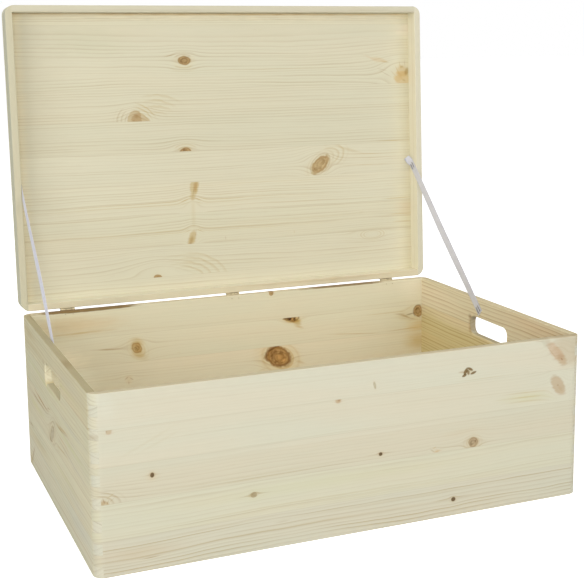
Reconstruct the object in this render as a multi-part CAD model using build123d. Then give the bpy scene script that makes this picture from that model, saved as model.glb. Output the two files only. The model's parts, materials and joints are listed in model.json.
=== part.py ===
from build123d import *
import math
import os

# Pine storage box with a hinged lid, shown with the lid open against its two straps.
# Millimetres. X runs along the length, -Y is the front, +Z is up.
# The origin is the middle of the underside.

# Carcass
length = 600.0
width = 400.0
base_height = 200.0
wall = 9.0
corner_radius = 12.0
rim_ease = 0.8
wall_staves = 5
finger_target = 12.5

# Hand slots through the two side walls
slot_length = 93.0
slot_height = 25.0
slot_radius = 10.0
slot_below_rim = 26.5
slot_ease = 2.0

# Bottom panel, let into a rebate under the walls, and the brads that hold it
bottom_thick = 4.0
bottom_lap = 4.5
bottom_clear = 0.2
long_side_brads = 5
short_side_brads = 3
brad_from_end_long = 60.0
brad_from_end_short = 80.0
brad_radius = 0.6
brad_length = 15.0
brad_head_radius = 1.1
brad_head_thick = 0.5

# Lid: a frame of rails with a panel of staves glued on it
rail_height = 22.0
rail_fingers = 2
panel_thick = 8.0
panel_first_stave = 27.5
panel_stave = 43.5
panel_edge_round = 3.0
close_gap = 0.4
open_angle = 92.6

# Hinges on the outside of the back; two are set in from the ends and one is near the middle
hinge_from_left = 60.5
hinge_from_right = 63.5
hinge_middle_shift = -5.5
hinge_length = 19.0
axis_behind_wall = 2.0
knuckle_radius = 1.7
knuckle_gap = 0.2
leaf_thick = 0.8
leaf_reach = 8.0
leaf_to_knuckle = 0.2
pin_radius = 0.8
pin_clear = 0.05
pin_end = 0.3

# Hinge nails; the ones in the base come just through the wall
nail_spacing = 10.0
nail_from_axis = 4.0
nail_radius = 0.6
nail_head_radius = 1.3
nail_head_thick = 0.5
nail_tip_out = 0.6
nail_in_lid = 8.0

# Straps and the staples that hold them, two at each end
strap_width = 12.0
strap_thick = 0.8
strap_clear = 0.1
strap_base_y = 25.0
strap_base_below_rim = 14.0
strap_lid_from_back = 165.0
strap_lid_depth = 11.5
strap_tail = 6.5
staple_length = 10.0
staple_apart = 5.0
staple_wire = 0.8
staple_leg = 6.0

half_length = length / 2
half_width = width / 2
inner_x = half_length - wall
inner_y = half_width - wall
rim_z = base_height
lid_rim_z = base_height + close_gap
lid_panel_z = lid_rim_z + rail_height
lid_top_z = lid_panel_z + panel_thick
hinge_y = half_width + axis_behind_wall
hinge_axis = Axis((0, hinge_y, rim_z), (1, 0, 0))
BOARDS = ("front", "back", "left", "right")

os.makedirs("parts", exist_ok=True)


def save(name, solid):
    """Write one node."""
    export_step(solid, f"parts/{name}.step")


def opened(shape):
    """Turn a piece of the closed lid to where it stands when the lid is open."""
    return shape.rotate(hinge_axis, -open_angle)


def block(x0, x1, y0, y1, z0, z1):
    """A box between two corners."""
    middle = Pos((x0 + x1) / 2, (y0 + y1) / 2, (z0 + z1) / 2)
    return middle * Box(x1 - x0, y1 - y0, z1 - z0)


def rounded_board(size_x, size_y, radius, z0, z1):
    """A flat board with rounded corners."""
    return Pos(0, 0, z0) * extrude(RectangleRounded(size_x, size_y, radius), z1 - z0)


def frame_ring(z0, z1):
    """The four boards of a frame as one ring, before the corner joints are cut."""
    hollow = block(-inner_x, inner_x, -inner_y, inner_y, z0, z1)
    return rounded_board(length, width, corner_radius, z0, z1) - hollow


def cut_all(shape, tools):
    """Take each tool away from a shape."""
    for tool in tools:
        shape = shape - tool
    return shape


def finger_levels(rim, far, count, long_at_rim):
    """The fingers of a corner from the rim on: low, high, and whether a long board owns it."""
    pitch = (far - rim) / count
    levels = []
    for i in range(count):
        ends = sorted((rim + i * pitch, rim + (i + 1) * pitch))
        levels.append((ends[0], ends[1], (i % 2 == 0) == long_at_rim))
    return levels


def board_region(board, levels):
    """The space that one board takes up in its frame, with its fingers."""
    is_long = board in ("front", "back")
    region = None
    for low, high, long_owns in levels:
        back_off = 0 if long_owns == is_long else wall
        reach_x = half_length - back_off
        reach_y = half_width - back_off
        if board == "front":
            piece = block(-reach_x, reach_x, -half_width, -inner_y, low, high)
        elif board == "back":
            piece = block(-reach_x, reach_x, inner_y, half_width, low, high)
        elif board == "left":
            piece = block(-half_length, -inner_x, -reach_y, reach_y, low, high)
        else:
            piece = block(inner_x, half_length, -reach_y, reach_y, low, high)
        region = piece if region is None else region + piece
    return region


def cylinder_along(point, direction, radius, height):
    """A round bar from a point along a direction."""
    return extrude(Plane(origin=point, z_dir=direction) * Circle(radius), height)


def nail(point, direction, radius, reach, head_radius, head_thick):
    """A nail whose head rests at a point and whose shank goes along a direction."""
    shank = cylinder_along(point, direction, radius, reach)
    back = tuple(-d for d in direction)
    return shank + cylinder_along(point, back, head_radius, head_thick)


# Brads, driven up through the lap of the bottom panel with their heads flush

lap_middle = wall - bottom_lap / 2


def brad_row(half_side, from_end, count):
    """Places along one side, evenly spaced between the two end ones."""
    first = from_end - half_side
    return [first - 2 * first * i / (count - 1) for i in range(count)]


brad_places = []
for side in (-1, 1):
    for x in brad_row(half_length, brad_from_end_long, long_side_brads):
        brad_places.append((x, side * (half_width - lap_middle)))
    for y in brad_row(half_width, brad_from_end_short, short_side_brads):
        brad_places.append((side * (half_length - lap_middle), y))
brads = []
for x, y in brad_places:
    brads.append(nail((x, y, brad_head_thick), (0, 0, 1), brad_radius,
                      brad_length - brad_head_thick, brad_head_radius, brad_head_thick))

# Hinge nails

hinge_places = {
    "left": -half_length + hinge_from_left,
    "middle": hinge_middle_shift,
    "right": half_length - hinge_from_right,
}
leaf_back_y = half_width + leaf_thick
nail_base_reach = leaf_thick + wall + nail_tip_out
nail_lid_reach = leaf_thick + nail_in_lid
base_nails = []
lid_nails = []
for hinge_x in hinge_places.values():
    for side in (-1, 1):
        x = hinge_x + side * nail_spacing / 2
        base_nails.append(nail((x, leaf_back_y, rim_z - nail_from_axis), (0, -1, 0), nail_radius,
                               nail_base_reach, nail_head_radius, nail_head_thick))
        lid_nails.append(nail((x, leaf_back_y, rim_z + nail_from_axis), (0, -1, 0), nail_radius,
                              nail_lid_reach, nail_head_radius, nail_head_thick))

# Straps, straight between their two anchors, and staples along them


def open_place(from_back, depth):
    """Y and Z, with the lid open, of a place on the inside of a lid rail."""
    turn = math.radians(open_angle)
    back = -axis_behind_wall - from_back
    rise = close_gap + depth
    y = hinge_y + back * math.cos(turn) + rise * math.sin(turn)
    z = rim_z - back * math.sin(turn) + rise * math.cos(turn)
    return y, z


strap_low = (strap_base_y, rim_z - strap_base_below_rim)
strap_high = open_place(strap_lid_from_back, strap_lid_depth)
strap_run = math.dist(strap_low, strap_high)
strap_tilt = math.degrees(math.atan2(strap_high[1] - strap_low[1], strap_high[0] - strap_low[0]))
strap_outer_x = inner_x - strap_clear
strap_inner_x = strap_outer_x - strap_thick
strap_total = strap_run + 2 * strap_tail


def along_strap(side, place, shape):
    """Lay a shape that runs along Y against the inside of one wall, tilted as the strap is."""
    laid = Pos(0, place[0], place[1]) * Rot(strap_tilt, 0, 0) * shape
    return laid if side > 0 else mirror(laid, Plane.YZ)


def staple(across):
    """A staple whose crown lies on the right-hand strap and whose legs go into the wood."""
    half = staple_length / 2
    crown_x = strap_inner_x - staple_wire
    low = across - staple_wire / 2
    high = across + staple_wire / 2
    bent = block(crown_x, strap_inner_x, -half, half, low, high)
    for end in (-half, half - staple_wire):
        bent = bent + block(crown_x, inner_x + staple_leg, end, end + staple_wire, low, high)
    return bent


def staple_pair(side, place):
    """The two staples at one end of a strap."""
    pair = []
    for across in (-staple_apart / 2, staple_apart / 2):
        pair.append(along_strap(side, place, staple(across)))
    return pair


straps = {}
base_staples = []
lid_staples = []
for name, side in (("left", -1), ("right", 1)):
    middle = tuple((a + b) / 2 for a, b in zip(strap_low, strap_high))
    ribbon = block(strap_inner_x, strap_outer_x, -strap_total / 2, strap_total / 2,
                   -strap_width / 2, strap_width / 2)
    low_pair = staple_pair(side, strap_low)
    high_pair = staple_pair(side, strap_high)
    straps[name] = cut_all(along_strap(side, middle, ribbon), low_pair + high_pair)
    base_staples += low_pair
    lid_staples += high_pair

# Walls: one ring with slots and rebate, cut into boards with fingers and then into staves

rebate_edge = wall - bottom_lap
rebate_radius = corner_radius - rebate_edge
base_ring = frame_ring(0, base_height)
base_ring = fillet(base_ring.edges().group_by(Axis.Z)[-1], rim_ease)
slot_z = base_height - slot_below_rim - slot_height / 2
slot_outline = Plane.YZ * Pos(0, slot_z) * RectangleRounded(slot_length, slot_height, slot_radius)
base_ring = base_ring - extrude(slot_outline, half_length, both=True)


def on_slot_mouth(edge):
    """True for the edges where a slot meets the faces of its wall."""
    middle = edge.center()
    in_slot = abs(middle.Y) < half_width - 2 * wall
    in_slot = in_slot and abs(middle.Z - slot_z) < slot_height / 2 + slot_ease
    across_wall = abs(edge.bounding_box().size.X) > wall / 2
    return in_slot and abs(middle.X) > inner_x - wall and not across_wall


base_ring = fillet(base_ring.edges().filter_by(on_slot_mouth), slot_ease)
rebate = rounded_board(length - 2 * rebate_edge, width - 2 * rebate_edge, rebate_radius,
                       0, bottom_thick)
base_ring = base_ring - rebate

finger_count = round(base_height / finger_target)
base_levels = finger_levels(rim_z, 0, finger_count, True)
stave_height = base_height / wall_staves
hardware_in_board = {
    "front": brads,
    "back": brads + base_nails,
    "left": brads + base_staples,
    "right": brads + base_staples,
}
for board in BOARDS:
    wall_board = base_ring & board_region(board, base_levels)
    for i in range(wall_staves):
        low = i * stave_height
        stave = wall_board & block(-length, length, -width, width, low, low + stave_height)
        stave_box = stave.bounding_box()
        near = [tool for tool in hardware_in_board[board] if stave_box.overlaps(tool.bounding_box())]
        save(f"{board}_stave_{i + 1}", cut_all(stave, near).solid())

panel_edge = rebate_edge + bottom_clear
bottom = rounded_board(length - 2 * panel_edge, width - 2 * panel_edge,
                       rebate_radius - bottom_clear, 0, bottom_thick)
save("bottom_panel", cut_all(bottom, brads).solid())
save("bottom_brads", Compound(brads))

# Lid rails, with the side rails' fingers at the rim

lid_ring = frame_ring(lid_rim_z, lid_panel_z)
lid_ring = fillet(lid_ring.edges().group_by(Axis.Z)[0], rim_ease)
lid_levels = finger_levels(lid_rim_z, lid_panel_z, rail_fingers, False)
lid_staple_holes = [piece.rotate(hinge_axis, open_angle) for piece in lid_staples]
hardware_in_rail = {
    "front": [],
    "back": lid_nails,
    "left": lid_staple_holes[:2],
    "right": lid_staple_holes[2:],
}
for board in BOARDS:
    rail = lid_ring & board_region(board, lid_levels)
    rail = cut_all(rail, hardware_in_rail[board])
    save(f"lid_{board}_rail", opened(rail).solid())

# Lid panel, cut into staves from the hinge side to the front

panel = rounded_board(length, width, corner_radius, lid_panel_z, lid_top_z)
panel = fillet(panel.edges().group_by(Axis.Z)[-1], panel_edge_round)
seams = [half_width]
edge = half_width - panel_first_stave
while edge > -half_width + panel_stave / 4:
    seams.append(edge)
    edge -= panel_stave
seams.append(-half_width)
for i in range(len(seams) - 1):
    stave = panel & block(-length, length, seams[i + 1], seams[i], lid_panel_z, lid_top_z)
    save(f"lid_stave_{i + 1}", opened(stave).solid())

# Hinges: the base leaf has the middle knuckle and the lid leaf the two outer ones

knuckle_length = hinge_length / 3
bore_radius = pin_radius + pin_clear
leaf_start = knuckle_radius + leaf_to_knuckle


def knuckle(x0, x1, up):
    """One rolled knuckle with the tongue that joins it to its leaf above or below the axis."""
    tube = cylinder_along((x0, hinge_y, rim_z), (1, 0, 0), knuckle_radius, x1 - x0)
    ends = sorted((rim_z, rim_z + up * (leaf_start + leaf_to_knuckle)))
    rolled = tube + block(x0, x1, half_width, leaf_back_y, ends[0], ends[1])
    return rolled - cylinder_along((x0, hinge_y, rim_z), (1, 0, 0), bore_radius, x1 - x0)


def leaf(hinge_x, up, knuckles, nails):
    """A leaf on the back face, above or below the axis, with its knuckles and nail holes."""
    ends = sorted((rim_z + up * leaf_start, rim_z + up * leaf_reach))
    plate = block(hinge_x - hinge_length / 2, hinge_x + hinge_length / 2,
                  half_width, leaf_back_y, ends[0], ends[1])
    for x0, x1 in knuckles:
        plate = plate + knuckle(x0, x1, up)
    return cut_all(plate, nails)


for i, (name, hinge_x) in enumerate(hinge_places.items()):
    start = hinge_x - hinge_length / 2
    inner_0 = start + knuckle_length + knuckle_gap / 2
    inner_1 = start + 2 * knuckle_length - knuckle_gap / 2
    middle_knuckle = [(inner_0, inner_1)]
    outer_knuckles = [(start, inner_0 - knuckle_gap), (inner_1 + knuckle_gap, start + hinge_length)]
    own_nails = slice(2 * i, 2 * i + 2)
    save(f"hinge_{name}_base_leaf", leaf(hinge_x, -1, middle_knuckle, base_nails[own_nails]).solid())
    lid_leaf = leaf(hinge_x, 1, outer_knuckles, lid_nails[own_nails])
    save(f"hinge_{name}_lid_leaf", opened(lid_leaf).solid())
    pin = cylinder_along((start - pin_end, hinge_y, rim_z), (1, 0, 0), pin_radius,
                         hinge_length + 2 * pin_end)
    save(f"hinge_{name}_pin", pin.solid())

save("hinge_nails_base", Compound(base_nails))
save("hinge_nails_lid", Compound([opened(piece) for piece in lid_nails]))
save("strap_left", straps["left"].solid())
save("strap_right", straps["right"].solid())
save("strap_staples_base", Compound(base_staples))
save("strap_staples_lid", Compound(lid_staples))
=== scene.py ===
import json
import math

import bpy
from mathutils import Matrix, Vector


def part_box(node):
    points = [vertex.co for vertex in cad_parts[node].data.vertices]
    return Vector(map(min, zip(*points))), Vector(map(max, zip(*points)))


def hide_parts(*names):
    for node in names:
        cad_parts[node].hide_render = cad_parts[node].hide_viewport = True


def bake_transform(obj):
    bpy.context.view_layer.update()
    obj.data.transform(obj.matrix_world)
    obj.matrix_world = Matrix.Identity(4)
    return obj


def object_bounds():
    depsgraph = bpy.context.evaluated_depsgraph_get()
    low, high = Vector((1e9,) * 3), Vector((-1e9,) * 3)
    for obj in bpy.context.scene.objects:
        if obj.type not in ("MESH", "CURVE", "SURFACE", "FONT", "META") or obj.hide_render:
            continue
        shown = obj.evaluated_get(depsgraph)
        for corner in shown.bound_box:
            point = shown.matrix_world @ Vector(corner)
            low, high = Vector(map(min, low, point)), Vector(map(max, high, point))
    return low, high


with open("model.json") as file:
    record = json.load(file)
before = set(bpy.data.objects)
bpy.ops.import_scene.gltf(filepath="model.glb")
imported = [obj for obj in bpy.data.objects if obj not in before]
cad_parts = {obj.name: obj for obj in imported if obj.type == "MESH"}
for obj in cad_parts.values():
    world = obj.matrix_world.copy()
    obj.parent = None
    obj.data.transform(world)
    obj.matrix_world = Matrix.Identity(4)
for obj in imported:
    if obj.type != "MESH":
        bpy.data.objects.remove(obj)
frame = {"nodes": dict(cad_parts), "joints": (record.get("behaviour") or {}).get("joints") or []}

cad_low, cad_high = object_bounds()


# Front wall: five pine staves, 40 mm high, glued edge to edge and sanded flush.
# Bare wood. The grain runs along the wall and bends round each knot; the sawn ends
# of the corner fingers show their year rings.

def wire(tree, value, socket):
    """Join a value to a socket, whether it is a link or a plain number, colour or vector."""
    if isinstance(value, bpy.types.NodeSocket):
        tree.links.new(value, socket)
    else:
        socket.default_value = value


def calc(tree, operation, *values):
    """One step of arithmetic."""
    made = tree.nodes.new("ShaderNodeMath")
    made.operation = operation
    for value, socket in zip(values, made.inputs):
        wire(tree, value, socket)
    return made.outputs[0]


def times(tree, first, *others):
    """Values multiplied together."""
    for other in others:
        first = calc(tree, "MULTIPLY", first, other)
    return first


def place_calc(tree, operation, *values):
    """One step of arithmetic on places or colours."""
    made = tree.nodes.new("ShaderNodeVectorMath")
    made.operation = operation
    sockets = [made.inputs[0], made.inputs["Scale"]] if operation == "SCALE" else made.inputs
    for value, socket in zip(values, sockets):
        wire(tree, value, socket)
    gives_number = operation in ("LENGTH", "DOT_PRODUCT")
    return made.outputs["Value" if gives_number else "Vector"]


def split(tree, place):
    """A place's three numbers."""
    made = tree.nodes.new("ShaderNodeSeparateXYZ")
    wire(tree, place, made.inputs[0])
    return made.outputs


def joined(tree, **numbers):
    """A place made of numbers; those not given are 0."""
    made = tree.nodes.new("ShaderNodeCombineXYZ")
    for axis, value in numbers.items():
        wire(tree, value, made.inputs[axis])
    return made.outputs[0]


def fade(tree, value, start, end):
    """Goes smoothly from 0 at start to 1 at end."""
    made = tree.nodes.new("ShaderNodeMapRange")
    made.interpolation_type = "SMOOTHSTEP"
    for label, amount in (("Value", value), ("From Min", start), ("From Max", end)):
        wire(tree, amount, made.inputs[label])
    return made.outputs["Result"]


def fade_out(tree, value, start, end):
    """Goes smoothly from 1 at start to 0 at end."""
    return calc(tree, "SUBTRACT", 1.0, fade(tree, value, start, end))


def stretched_noise(tree, place, stretch, seed, detail=1.0):
    """Noise from about -1 to 1, drawn out along the grain; stretch is cycles per millimetre."""
    spread = 4.0
    made = tree.nodes.new("ShaderNodeTexNoise")
    made.noise_dimensions = "4D"
    made.inputs["Scale"].default_value = 1.0
    made.inputs["Detail"].default_value = detail
    wire(tree, place_calc(tree, "MULTIPLY", place, stretch), made.inputs["Vector"])
    wire(tree, seed, made.inputs["W"])
    return calc(tree, "MULTIPLY_ADD", made.outputs["Fac"], spread, -spread / 2)


def mix_colour(tree, blend, amount, under, over):
    """Lay one colour over another."""
    made = tree.nodes.new("ShaderNodeMix")
    made.data_type = "RGBA"
    made.blend_type = blend
    made.clamp_factor = True
    colour_sockets = (made.inputs[0], made.inputs[6], made.inputs[7])
    for value, socket in zip((amount, under, over), colour_sockets):
        if not isinstance(value, bpy.types.NodeSocket) and socket.type == "RGBA":
            value = (*value, 1.0)
        wire(tree, value, socket)
    return made.outputs[2]


def shader_group(name, inputs, outputs):
    """An empty shader node group; returns its tree, what it is given and what it gives."""
    tree = bpy.data.node_groups.new(name, "ShaderNodeTree")
    for label, kind in inputs.items():
        tree.interface.new_socket(label, in_out="INPUT", socket_type="NodeSocket" + kind)
    for label, kind in outputs.items():
        tree.interface.new_socket(label, in_out="OUTPUT", socket_type="NodeSocket" + kind)
    given = tree.nodes.new("NodeGroupInput").outputs
    gives = tree.nodes.new("NodeGroupOutput").inputs
    return tree, given, gives


def use_group(tree, group, **inputs):
    """Place a group in a material; returns its outputs."""
    made = tree.nodes.new("ShaderNodeGroup")
    made.node_tree = group
    for label, value in inputs.items():
        wire(tree, value, made.inputs[label])
    return made.outputs


def make_pine_rings():
    """Year rings about a heart line, as a board cuts them, with the fibres and clouds of the wood."""
    tree, given, gives = shader_group(
        "pine_rings",
        {"Place": "Vector", "Push": "Float", "Heart": "Vector", "Ring": "Float",
         "Wander": "Float", "Seed": "Float"},
        {"Line": "Float", "Fibre": "Float", "Fleck": "Float", "Cloud": "Float", "Lift": "Float"})
    place, seed = given["Place"], given["Seed"]

    # Rings wander in long waves with short ones on them, and give way to the knots.
    short_share = 0.22
    long_wave = stretched_noise(tree, place, (0.0035, 0.012, 0.012), seed)
    short_wave = stretched_noise(tree, place, (0.016, 0.05, 0.05), seed)
    waves = calc(tree, "MULTIPLY_ADD", short_wave, short_share, long_wave)
    lift = calc(tree, "MULTIPLY_ADD", waves, given["Wander"], given["Push"])
    bent = place_calc(tree, "ADD", place, joined(tree, Y=lift))
    from_heart = place_calc(tree, "SUBTRACT", bent, given["Heart"])
    radius = place_calc(tree, "LENGTH", place_calc(tree, "MULTIPLY", from_heart, (0, 1, 1)))
    count = calc(tree, "DIVIDE", radius, given["Ring"])

    # Some years are wider than others.
    year_pace, year_change = 0.33, 0.6
    uneven = stretched_noise(tree, joined(tree, X=count), (year_pace, 0, 0), seed)
    count = calc(tree, "MULTIPLY_ADD", uneven, year_change, count)
    whole_years = calc(tree, "FLOOR", count)

    # Each year's dark line has its own strength, and comes and goes along the board.
    faintest_year, faintest_stretch = 0.25, 0.3
    along_pace, year_apart = 0.007, 0.73
    year = tree.nodes.new("ShaderNodeTexWhiteNoise")
    year.noise_dimensions = "1D"
    wire(tree, calc(tree, "ADD", whole_years, seed), year.inputs["W"])
    strength = calc(tree, "MULTIPLY_ADD", year.outputs["Value"], 1 - faintest_year, faintest_year)
    along = joined(tree, X=times(tree, split(tree, place)["X"], along_pace),
                   Y=times(tree, whole_years, year_apart))
    lasting = fade(tree, stretched_noise(tree, along, (1, 1, 1), seed), -0.9, 0.7)
    lasting = calc(tree, "MULTIPLY_ADD", lasting, 1 - faintest_stretch, faintest_stretch)

    # Through a year the wood darkens slowly, then quickly, and the line ends sharply.
    slow_share = 0.35
    part = calc(tree, "FRACT", count)
    slow, quick = fade(tree, part, 0.2, 0.85), fade(tree, part, 0.6, 0.88)
    rise = calc(tree, "MULTIPLY_ADD", slow, slow_share, times(tree, quick, 1 - slow_share))
    profile = times(tree, rise, fade_out(tree, part, 0.9, 1.0))
    wire(tree, times(tree, profile, times(tree, strength, lasting)), gives["Line"])

    # Fibres, short dark flecks and broad clouds follow the bent grain.
    fleck_seed = calc(tree, "ADD", seed, 5.0)
    fleck = stretched_noise(tree, bent, (0.05, 0.8, 0.8), fleck_seed, 2.0)
    wire(tree, fade(tree, fleck, 0.75, 1.15), gives["Fleck"])
    wire(tree, stretched_noise(tree, bent, (0.03, 0.9, 0.9), seed, 3.0), gives["Fibre"])
    wire(tree, stretched_noise(tree, bent, (0.004, 0.03, 0.03), seed, 2.0), gives["Cloud"])
    wire(tree, lift, gives["Lift"])
    return tree


def from_centre(tree, given):
    """The way from an oval's centre over the board's face, and its length in the oval's half-widths."""
    away = place_calc(tree, "SUBTRACT", given["Place"], given["Centre"])
    away = place_calc(tree, "MULTIPLY", away, (1, 1, 0))
    turned = tree.nodes.new("ShaderNodeVectorRotate")
    turned.rotation_type = "Z_AXIS"
    wire(tree, away, turned.inputs["Vector"])
    wire(tree, times(tree, given["Turn"], -1.0), turned.inputs["Angle"])
    scaled = place_calc(tree, "DIVIDE", turned.outputs[0], given["Size"])
    return away, place_calc(tree, "LENGTH", scaled)


def make_pine_knot():
    """A knot: its heart, the dark line round it, its own rings, the stain about it and its push on the grain."""
    tree, given, gives = shader_group(
        "pine_knot",
        {"Place": "Vector", "Centre": "Vector", "Size": "Vector", "Turn": "Float", "Reach": "Vector"},
        {"Core": "Float", "Rim": "Float", "Whorl": "Float", "Stain": "Float", "Push": "Float"})
    outline_wobble = 0.17
    away, distance = from_centre(tree, given)
    ragged = stretched_noise(tree, given["Place"], (0.1, 0.1, 0.05), 0.0, 4.0)
    reach = calc(tree, "MULTIPLY_ADD", ragged, outline_wobble, distance)
    wire(tree, fade_out(tree, reach, 0.8, 1.04), gives["Core"])
    rim = times(tree, fade(tree, reach, 0.72, 0.94), fade_out(tree, reach, 0.96, 1.14))
    wire(tree, rim, gives["Rim"])
    wire(tree, fade_out(tree, reach, 0.95, 2.2), gives["Stain"])

    # Its rings are broken up by a fine mottle.
    ring_pace, ring_wobble, ring_share = 11.0, 2.0, 0.25
    mottle_share, mean_shade = 0.6, 0.5
    mottle = stretched_noise(tree, given["Place"], (0.2, 0.2, 0.1), 3.0, 4.0)
    whorl = calc(tree, "SINE", calc(tree, "MULTIPLY_ADD", mottle, ring_wobble, times(tree, reach, ring_pace)))
    patchy = calc(tree, "MULTIPLY_ADD", mottle, mottle_share, mean_shade)
    wire(tree, calc(tree, "MULTIPLY_ADD", whorl, ring_share, patchy), gives["Whorl"])

    # The grain parts above and below it, less and less with distance.
    near = place_calc(tree, "DIVIDE", away, given["Reach"])
    nearness = place_calc(tree, "DOT_PRODUCT", near, near)
    falling = calc(tree, "MULTIPLY_ADD", nearness, nearness, 1.0)
    inward = times(tree, split(tree, away)["Y"], -1.0)
    wire(tree, calc(tree, "DIVIDE", inward, falling), gives["Push"])
    return tree


def make_pine_patch():
    """A soft-edged oval on a board, for streaks and stains that follow the grain."""
    tree, given, gives = shader_group(
        "pine_patch",
        {"Place": "Vector", "Centre": "Vector", "Size": "Vector", "Turn": "Float", "Soft": "Float",
         "Ragged": "Float"},
        {"Mask": "Float"})
    reach = calc(tree, "ADD", from_centre(tree, given)[1], given["Ragged"])
    full_within = calc(tree, "SUBTRACT", 1.0, given["Soft"])
    wire(tree, fade_out(tree, reach, full_within, 1.0), gives["Mask"])
    return tree


CURL_FADE = 0.35


def make_pine_curl():
    """Year rings that curl round a knot: thin oval lines, over so much of the way round it."""
    tree, given, gives = shader_group(
        "pine_curl",
        {"Place": "Vector", "Centre": "Vector", "Size": "Vector", "Turn": "Float", "Lines": "Float",
         "Aim": "Vector", "Least": "Float"},
        {"Mask": "Float"})
    line_wobble = 0.03
    away, distance = from_centre(tree, given)
    ragged = stretched_noise(tree, given["Place"], (0.06, 0.06, 0.0), 7.0, 2.0)
    reach = calc(tree, "MULTIPLY_ADD", ragged, line_wobble, distance)
    part = calc(tree, "FRACT", times(tree, reach, given["Lines"]))
    line = times(tree, fade(tree, part, 0.35, 0.8), fade_out(tree, part, 0.85, 1.0))
    facing = place_calc(tree, "DOT_PRODUCT", place_calc(tree, "NORMALIZE", away), given["Aim"])
    sector = fade(tree, facing, given["Least"], calc(tree, "ADD", given["Least"], CURL_FADE))
    within = times(tree, fade(tree, reach, 0.3, 0.45), fade_out(tree, reach, 0.8, 1.0))
    wire(tree, times(tree, line, sector, within), gives["Mask"])
    return tree


def make_board_faces():
    """Which faces of a board show end grain and which show its edge."""
    tree, given, gives = shader_group(
        "board_faces", {"Normal": "Vector", "Along": "Vector", "Across": "Vector"},
        {"End": "Float", "Edge": "Float"})
    for axis, label, start, end in (("Along", "End", 0.15, 0.6), ("Across", "Edge", 0.45, 0.95)):
        facing = calc(tree, "ABSOLUTE", place_calc(tree, "DOT_PRODUCT", given["Normal"], given[axis]))
        wire(tree, fade(tree, facing, start, end), gives[label])
    return tree


def make_glue_lines():
    """The fine dark lines where staves meet, and where corner fingers meet near the ends of a board."""
    tree, given, gives = shader_group(
        "glue_lines",
        {"Place": "Vector", "Low": "Float", "High": "Float", "End": "Float", "Pitch": "Float"},
        {"Seam": "Float", "Finger": "Float"})
    parts = split(tree, given["Place"])
    along, across = parts["X"], parts["Y"]
    to_low = calc(tree, "ABSOLUTE", calc(tree, "SUBTRACT", across, given["Low"]))
    to_high = calc(tree, "ABSOLUTE", calc(tree, "SUBTRACT", across, given["High"]))
    wire(tree, fade_out(tree, calc(tree, "MINIMUM", to_low, to_high), 0.1, 0.7), gives["Seam"])
    step = calc(tree, "FRACT", calc(tree, "DIVIDE", across, given["Pitch"]))
    from_step = calc(tree, "MINIMUM", step, calc(tree, "SUBTRACT", 1.0, step))
    from_step = times(tree, from_step, given["Pitch"])
    in_corner = calc(tree, "GREATER_THAN", calc(tree, "ABSOLUTE", along), given["End"])
    wire(tree, times(tree, fade_out(tree, from_step, 0.1, 0.6), in_corner), gives["Finger"])
    return tree


pine_rings = make_pine_rings()
pine_knot = make_pine_knot()
pine_patch = make_pine_patch()
pine_curl = make_pine_curl()
board_faces = make_board_faces()
glue_lines = make_glue_lines()

# Millimetres in a metre: a board's surface is laid out in millimetres.
MM = 1000.0
# A place past any board's end, in millimetres, for a board that has no seam or no corner fingers there.
NO_LINE = 1000.0

# Stains multiply the colour of the wood under them.
LATE_STAIN = (0.77, 0.68, 0.55)
END_LATE_STAIN = (0.78, 0.73, 0.66)
COOL_CLOUD, WARM_CLOUD = (0.982, 1.0, 0.99), (1.0, 0.977, 0.95)
END_STAIN = (1.02, 1.01, 0.96)
EDGE_STAIN = (0.90, 0.86, 0.80)
GLUE_STAIN = (0.70, 0.62, 0.50)
GREEN, GREY = (0.94, 0.96, 0.80), (0.95, 0.96, 1.02)
RED, PINK = (0.95, 0.85, 0.74), (0.83, 0.71, 0.62)
# Amber and pale serve both as stains in the wood and as painted light on the back wall's inside.
TAN, AMBER_STAIN_AND_PAINTED_BOUNCE = (0.84, 0.73, 0.53), (0.87, 0.74, 0.47)
BROWN, DARK = (0.62, 0.46, 0.28), (0.36, 0.26, 0.15)
LIGHT, PALE_STREAK_AND_PAINTED_LIGHT = (1.03, 1.05, 1.08), (1.16, 1.15, 1.19)

# How a knot stains the wood: in its darkest parts, its lightest, the line round it, and the wood about it.
KNOT_LOOKS = {
    "black": ((0.15, 0.10, 0.06), (0.32, 0.25, 0.17), (0.85, 0.78, 0.70), (0.99, 0.96, 0.92)),
    "umber": ((0.34, 0.20, 0.09), (0.68, 0.48, 0.26), (0.62, 0.48, 0.33), (0.97, 0.91, 0.80)),
    "brown": ((0.40, 0.26, 0.13), (0.74, 0.56, 0.35), (0.80, 0.68, 0.52), (1.0, 0.98, 0.95)),
    "tan": ((0.56, 0.41, 0.25), (0.84, 0.71, 0.52), (0.82, 0.72, 0.57), (1.0, 0.98, 0.94)),
    "ashen": ((0.46, 0.37, 0.28), (0.82, 0.73, 0.62), (0.84, 0.76, 0.67), (0.98, 0.95, 0.91)),
    "flaky": ((0.22, 0.15, 0.10), (1.0, 0.95, 0.88), (0.80, 0.72, 0.62), (0.98, 0.95, 0.90)),
    "faint": ((0.84, 0.76, 0.64), (0.95, 0.91, 0.84), (0.97, 0.94, 0.90), (1.0, 0.99, 0.97)),
    "grey": ((0.66, 0.61, 0.53), (0.86, 0.82, 0.76), (0.90, 0.86, 0.80), (0.99, 0.98, 0.96)),
    "dusky": ((0.70, 0.66, 0.64), (0.86, 0.83, 0.80), (0.88, 0.85, 0.80), (0.98, 0.97, 0.96)),
    "clear": ((1.0, 1.0, 1.0), (1.0, 1.0, 1.0), (1.0, 1.0, 1.0), (1.0, 1.0, 1.0)),
}


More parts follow.
